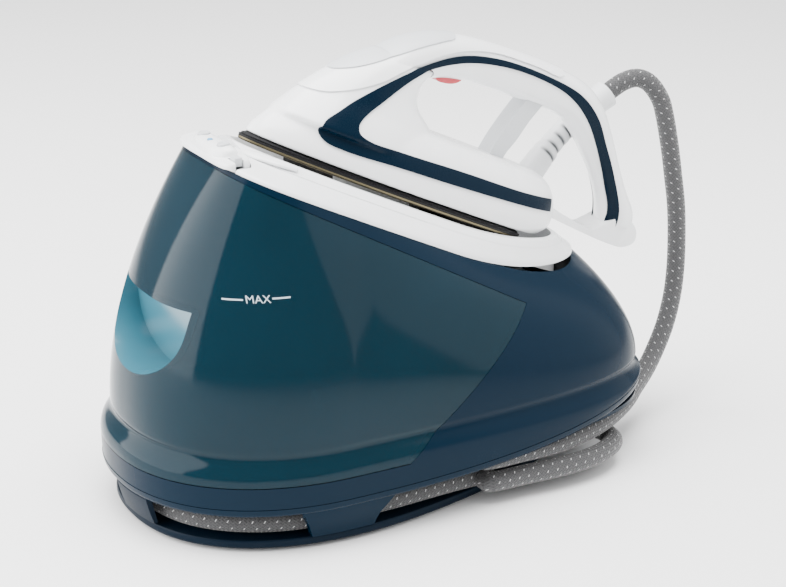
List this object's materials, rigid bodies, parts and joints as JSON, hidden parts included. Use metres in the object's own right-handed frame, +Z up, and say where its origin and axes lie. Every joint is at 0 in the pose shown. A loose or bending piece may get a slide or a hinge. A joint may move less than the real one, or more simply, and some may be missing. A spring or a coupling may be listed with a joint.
{
  "type": "steam generator iron",
  "caption": "Steam generator iron: base with front water tank, sloping iron platform and hose channel, and a loop-handled iron joined by a braided steam hose.",
  "frame": {"origin": "floor level, under the middle of the object without its hose", "axes": "+Z up, -Y towards the tank and the nose of the parked iron, +X towards the right-hand flank seen from behind the base"},
  "size_m": [0.2516, 0.5193, 0.3454],
  "materials": {
    "white": "smooth white, semi-gloss",
    "grey": "light grey, satin",
    "navy": "glossy blue-green navy",
    "dark_navy": "satin dark navy",
    "black": "matt black",
    "tank": "clear, tinted teal, glossy",
    "sole": "bronze-grey coated, satin",
    "steel": "brushed",
    "brass": "plain",
    "casting": "as cast",
    "red": "smooth",
    "rubber": "matt",
    "board": "green, matt",
    "silicone": "translucent white, satin",
    "hose": "grey braid with small light flecks",
    "lens": "clear blue"
  },
  "bodies": {
    "base": {"base_tray": "dark_navy", "body_shell": "navy", "boiler": "steel", "boiler_thermostat": "black", "control_board": "board", "control_panel": "white", "feed_tube": "silicone", "foot_front_left": "rubber", "foot_front_right": "rubber", "foot_rear_left": "rubber", "foot_rear_right": "rubber", "heating_element": "brass", "hose_clip": "dark_navy", "hose_outlet": "black", "iron_platform": "white", "lower_housing": "navy", "mains_gland": "black", "power_board": "board", "pump": "black", "rest_pad_front": "rubber", "rest_pad_rear_left": "rubber", "rest_pad_rear_right": "rubber", "safety_valve": "brass", "status_light": "lens", "steam_hose": "hose", "steam_tube": "silicone", "steam_valve": "brass", "suction_tube": "silicone", "tank_socket": "black"},
    "iron": {"soleplate": "sole", "steam_chamber": "casting", "heat_skirt": "black", "iron_shell": "white", "handle_shell": "white", "handle_top_cover": "white", "handle_top_insert": "grey", "side_trim_left": "navy", "side_trim_right": "navy", "handle_pillar": "grey", "hose_boot": "grey", "trigger_switch": "black", "terminal_block": "black", "iron_thermostat": "steel", "steam_hose_iron_end": "hose"},
    "trigger": {"steam_trigger": "red", "trigger_spring": "steel"},
    "tank": {"water_tank": "tank", "tank_valve": "grey"},
    "power_button": {"power_button": "grey"},
    "eco_button": {"eco_button": "grey"},
    "panel_lock": {"panel_lock_slider": "grey"},
    "collector": {"collector_cap": "dark_navy", "scale_collector": "grey"}
  },
  "joints": [
    {"name": "iron_lift", "type": "slide", "parent": "base", "child": "iron", "axis": [0, 0, 1], "range_m": [0, 0.12]},
    {"name": "trigger_press", "type": "slide", "parent": "iron", "child": "trigger", "axis": [0, 0.4226, 0.9063], "range_m": [0, 0.0025], "stiffness_N_per_m": 600},
    {"name": "tank_pull", "type": "slide", "parent": "base", "child": "tank", "axis": [0, -1, 0], "range_m": [0, 0.11]},
    {"name": "power_press", "type": "slide", "parent": "base", "child": "power_button", "axis": [0, 0, -1], "range_m": [0, 0.0011], "stiffness_N_per_m": 500},
    {"name": "eco_press", "type": "slide", "parent": "base", "child": "eco_button", "axis": [0, 0, -1], "range_m": [0, 0.0011], "stiffness_N_per_m": 500},
    {"name": "lock_slide", "type": "slide", "parent": "base", "child": "panel_lock", "axis": [1, 0, 0], "range_m": [0, 0.003]},
    {"name": "collector_turn", "type": "hinge", "parent": "base", "child": "collector", "pos_m": [-0.1, 0.122, 0.1], "axis": [1, 0, 0], "range_deg": [0, 90]}
  ]
}
